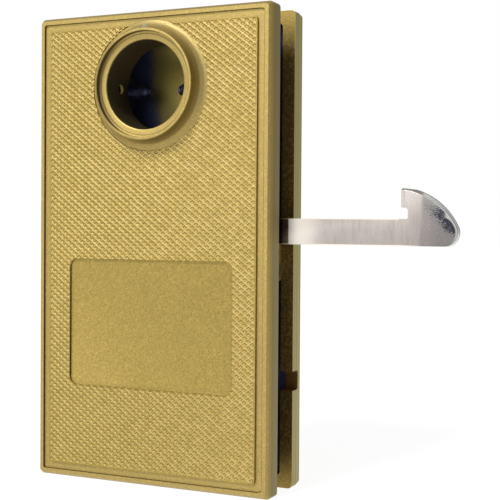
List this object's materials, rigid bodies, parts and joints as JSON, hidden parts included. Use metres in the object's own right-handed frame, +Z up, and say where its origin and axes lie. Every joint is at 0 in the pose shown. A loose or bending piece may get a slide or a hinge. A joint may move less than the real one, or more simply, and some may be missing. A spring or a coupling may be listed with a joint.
{
  "type": "sliding gate lockset",
  "caption": "Surface lockset for a sliding gate: two rectangular cast covers either side of a lock case with a swinging hook bolt and a round bore for a lock cylinder.",
  "frame": {"origin": "centre of the cylinder bore on its annular seat in the front cover's collar", "axes": "+X to the right towards the hook's nose, +Y into the lock away from the viewer, +Z up"},
  "size_m": [0.1462, 0.0315, 0.1588],
  "materials": {
    "gold_paint": "satin gold enamel on a fine cast grain",
    "gold_paint_back": "satin gold enamel on a fine cast grain",
    "case_paint": "blue black enamel on rough cast walls",
    "lid_steel": "zinc plated sheet",
    "screw_zinc": "zinc plated",
    "set_screw_black": "black oxide",
    "hook_stainless": "brushed stainless, ground nose",
    "bronze": "sintered bronze",
    "pin_steel": "ground steel",
    "washer_steel": "zinc plated",
    "spring_steel": "drawn spring wire",
    "lever_zinc": "yellow zinc plated",
    "roller_nylon": "natural nylon"
  },
  "bodies": {
    "housing": {"front_cover": "gold_paint", "rear_cover": "gold_paint_back", "lock_case": "case_paint", "case_lid": "lid_steel", "cover_screws": "screw_zinc", "lid_screws": "screw_zinc", "set_screw_left": "set_screw_black", "set_screw_right": "set_screw_black", "hook_pivot_pin": "pin_steel", "pivot_washer_front": "washer_steel", "pivot_washer_rear": "washer_steel", "pivot_spacer": "washer_steel", "rest_stop_pin": "pin_steel", "travel_stop_pin": "pin_steel", "hook_spring": "spring_steel", "spring_pin": "pin_steel", "lever_washer": "washer_steel", "lever_pivot_pin": "pin_steel", "lever_clip": "spring_steel", "hook_guide": "gold_paint", "guide_screws": "screw_zinc"},
    "hook": {"hook_bolt": "hook_stainless", "hook_bushing": "bronze"},
    "lever": {"cam_lever": "lever_zinc", "lever_bushing": "bronze", "drive_pin": "pin_steel", "drive_roller": "roller_nylon"}
  },
  "joints": [
    {"name": "hook_swing", "type": "hinge", "parent": "housing", "child": "hook", "pos_m": [0.022, 0.01575, -0.04807], "axis": [0, 1, 0], "range_deg": [0, 15], "stiffness_Nm_per_rad": 0.96, "springref_deg": -5.73, "deforming": ["hook_spring"]},
    {"name": "lever_turn", "type": "hinge", "parent": "housing", "child": "lever", "pos_m": [-0.027, 0.02275, -0.04807], "axis": [0, 1, 0], "range_deg": [-21.63, 0]}
  ],
  "couplings": [
    {"joint": "lever_turn", "follows": "hook_swing", "ratio": -1.4351}
  ]
}
